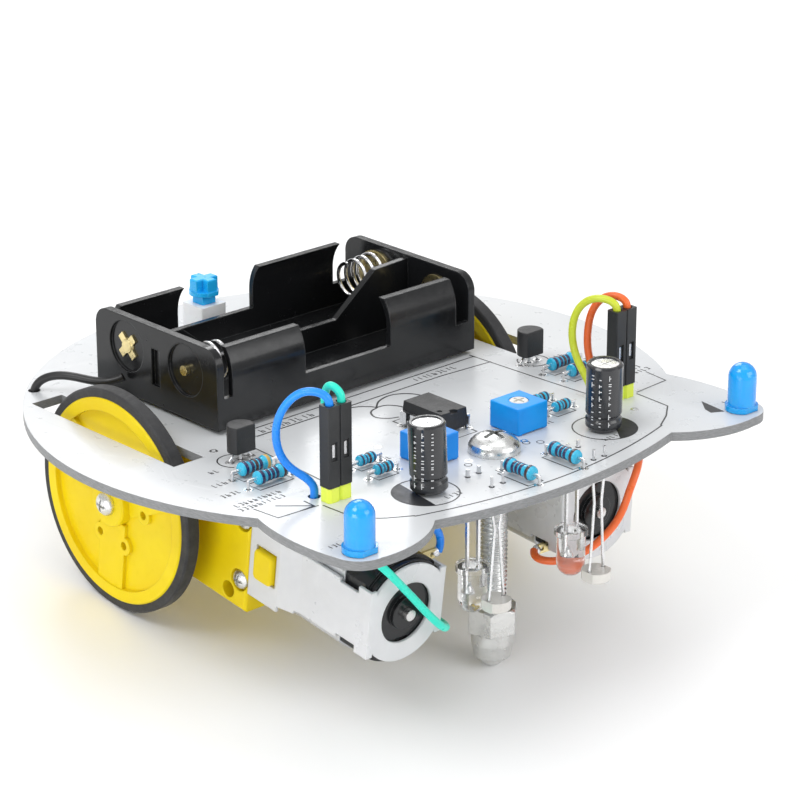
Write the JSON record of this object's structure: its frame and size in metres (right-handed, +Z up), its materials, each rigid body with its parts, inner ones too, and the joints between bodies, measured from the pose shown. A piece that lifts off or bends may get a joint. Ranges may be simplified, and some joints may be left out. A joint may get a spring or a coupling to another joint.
{
  "type": "two wheel robot car",
  "caption": "Line-following robot car on a round circuit board with small ears: two gear-motor wheels, a cap-nut skid, a battery holder and light sensors under the nose.",
  "frame": {"origin": "the point on the ground on the board's centre line, straight below the wheel axle; the car stands on both tyres and the skid's cap nut", "axes": "+X forwards towards the ears and the skid, +Y to the car's left, +Z up; the board is pitched 7.4 degrees nose-up because the skid is longer than the wheels reach down"},
  "size_m": [0.1132, 0.1148, 0.0586],
  "materials": {
    "board_white": "white solder resist over glass laminate",
    "black_plastic": "black semi-gloss moulded plastic",
    "foam_tape": "white double-sided foam tape",
    "spring_steel": "nickel-plated spring wire",
    "brass_contact": "brass",
    "black_wire": "black insulated wire",
    "white_plastic": "white moulded plastic",
    "sky_blue_plastic": "sky-blue moulded plastic",
    "chip_epoxy": "charcoal moulding compound",
    "tinned_lead": "tinned leads",
    "solder": "bright solder",
    "trimmer_blue": "blue moulded plastic",
    "trimmer_rotor": "off-white rotor",
    "sleeve_black": "black shrink sleeve",
    "can_aluminium": "bare aluminium",
    "resistor_body": "blue lacquer with printed bands",
    "indicator_lens": "blue tinted epoxy lens",
    "clear_lens": "water-clear epoxy lens",
    "sensor_ceramic": "coated ceramic disc",
    "lime_plastic": "lime-yellow moulded plastic",
    "gold_pin": "gilt pins",
    "wire_blue": "blue insulated wire",
    "wire_turquoise": "turquoise insulated wire",
    "wire_yellow": "yellow-green insulated wire",
    "wire_orange": "orange insulated wire",
    "zinc_steel": "zinc-plated steel",
    "nickel": "nickel-plated brass",
    "yellow_plastic": "yellow moulded plastic",
    "gear_white": "white acetal",
    "motor_steel": "plated steel can",
    "armature_steel": "laminated iron and copper winding",
    "magnet": "ferrite",
    "strap_clear": "milky clear strap",
    "tyre_rubber": "black rubber band"
  },
  "bodies": {
    "chassis": {"battery_contacts": "brass_contact", "battery_holder": "black_plastic", "battery_leads": "black_wire", "battery_springs": "spring_steel", "capacitor_cans": "can_aluminium", "capacitor_sleeves": "sleeve_black", "caster_cap_nut": "nickel", "caster_nut": "zinc_steel", "caster_screw": "zinc_steel", "circuit_board": "board_white", "comparator_chip": "chip_epoxy", "comparator_pins": "tinned_lead", "component_leads": "tinned_lead", "gear_pins": "spring_steel", "gearbox_base_left": "yellow_plastic", "gearbox_base_right": "yellow_plastic", "gearbox_cover_left": "yellow_plastic", "gearbox_cover_right": "yellow_plastic", "gearbox_screws": "zinc_steel", "header_pins": "gold_pin", "indicator_leds": "indicator_lens", "motor_can_left": "motor_steel", "motor_can_right": "motor_steel", "motor_end_cap_left": "black_plastic", "motor_end_cap_right": "black_plastic", "motor_magnets": "magnet", "motor_straps": "strap_clear", "motor_terminals": "brass_contact", "mounting_tape": "foam_tape", "photoresistors": "sensor_ceramic", "pin_headers": "lime_plastic", "plug_housings": "black_plastic", "plug_sockets": "tinned_lead", "resistors": "resistor_body", "sensor_leds": "clear_lens", "solder_joints": "solder", "switch_body": "white_plastic", "transistors": "chip_epoxy", "trimpot_bodies": "trimmer_blue", "wire_blue": "wire_blue", "wire_orange": "wire_orange", "wire_turquoise": "wire_turquoise", "wire_yellow": "wire_yellow"},
    "switch_button": {"switch_plunger": "sky_blue_plastic"},
    "trimmer_right": {"trimpot_rotor_right": "trimmer_rotor"},
    "trimmer_left": {"trimpot_rotor_left": "trimmer_rotor"},
    "drive_wheel_right": {"wheel_right": "yellow_plastic", "tyre_right": "tyre_rubber", "wheel_screw_right": "zinc_steel", "output_gear_right": "gear_white"},
    "reduction_right": {"reduction_gear_right": "gear_white"},
    "crown_right": {"crown_gear_right": "gear_white"},
    "motor_rotor_right": {"armature_right": "armature_steel"},
    "drive_wheel_left": {"wheel_left": "yellow_plastic", "tyre_left": "tyre_rubber", "wheel_screw_left": "zinc_steel", "output_gear_left": "gear_white"},
    "reduction_left": {"reduction_gear_left": "gear_white"},
    "crown_left": {"crown_gear_left": "gear_white"},
    "motor_rotor_left": {"armature_left": "armature_steel"}
  },
  "joints": [
    {"name": "switch_press", "type": "slide", "parent": "chassis", "child": "switch_button", "axis": [0.1279, 0, -0.9918], "range_m": [0, 0.0015]},
    {"name": "trimmer_right_turn", "type": "hinge", "parent": "chassis", "child": "trimmer_right", "pos_m": [0.04343, -0.0105, 0.04304], "axis": [-0.1279, 0, 0.9918], "range_deg": [-105, 105]},
    {"name": "trimmer_left_turn", "type": "hinge", "parent": "chassis", "child": "trimmer_left", "pos_m": [0.04343, 0.0105, 0.04304], "axis": [-0.1279, 0, 0.9918], "range_deg": [-105, 105]},
    {"name": "wheel_right_spin", "type": "hinge", "parent": "chassis", "child": "drive_wheel_right", "pos_m": [0, -0.0252, 0.0202], "axis": [0, 1, 0], "continuous": true},
    {"name": "reduction_right_spin", "type": "hinge", "parent": "chassis", "child": "reduction_right", "pos_m": [0.0092, -0.0252, 0.02021], "axis": [0, 1, 0], "continuous": true},
    {"name": "crown_right_spin", "type": "hinge", "parent": "chassis", "child": "crown_right", "pos_m": [0.0158, -0.0252, 0.02021], "axis": [0, 1, 0], "continuous": true},
    {"name": "motor_right_spin", "type": "hinge", "parent": "chassis", "child": "motor_rotor_right", "pos_m": [0.04, -0.0252, 0.02023], "axis": [1, 0, 0.0009], "continuous": true},
    {"name": "wheel_left_spin", "type": "hinge", "parent": "chassis", "child": "drive_wheel_left", "pos_m": [-0.00049, 0.0232, 0.02009], "axis": [0.0571, 0.9983, 0.0074], "continuous": true},
    {"name": "reduction_left_spin", "type": "hinge", "parent": "chassis", "child": "reduction_left", "pos_m": [0.00866, 0.02267, 0.02091], "axis": [0.0571, 0.9983, 0.0074], "continuous": true},
    {"name": "crown_left_spin", "type": "hinge", "parent": "chassis", "child": "crown_left", "pos_m": [0.01522, 0.02229, 0.0215], "axis": [0.0571, 0.9983, 0.0074], "continuous": true},
    {"name": "motor_left_spin", "type": "hinge", "parent": "chassis", "child": "motor_rotor_left", "pos_m": [0.03928, 0.0209, 0.02367], "axis": [0.9943, -0.0575, 0.0896], "continuous": true}
  ],
  "couplings": [
    {"joint": "reduction_right_spin", "follows": "wheel_right_spin", "ratio": -3.6},
    {"joint": "crown_right_spin", "follows": "wheel_right_spin", "ratio": 9.6},
    {"joint": "motor_right_spin", "follows": "wheel_right_spin", "ratio": -48},
    {"joint": "reduction_left_spin", "follows": "wheel_left_spin", "ratio": -3.6},
    {"joint": "crown_left_spin", "follows": "wheel_left_spin", "ratio": 9.6},
    {"joint": "motor_left_spin", "follows": "wheel_left_spin", "ratio": 48}
  ]
}
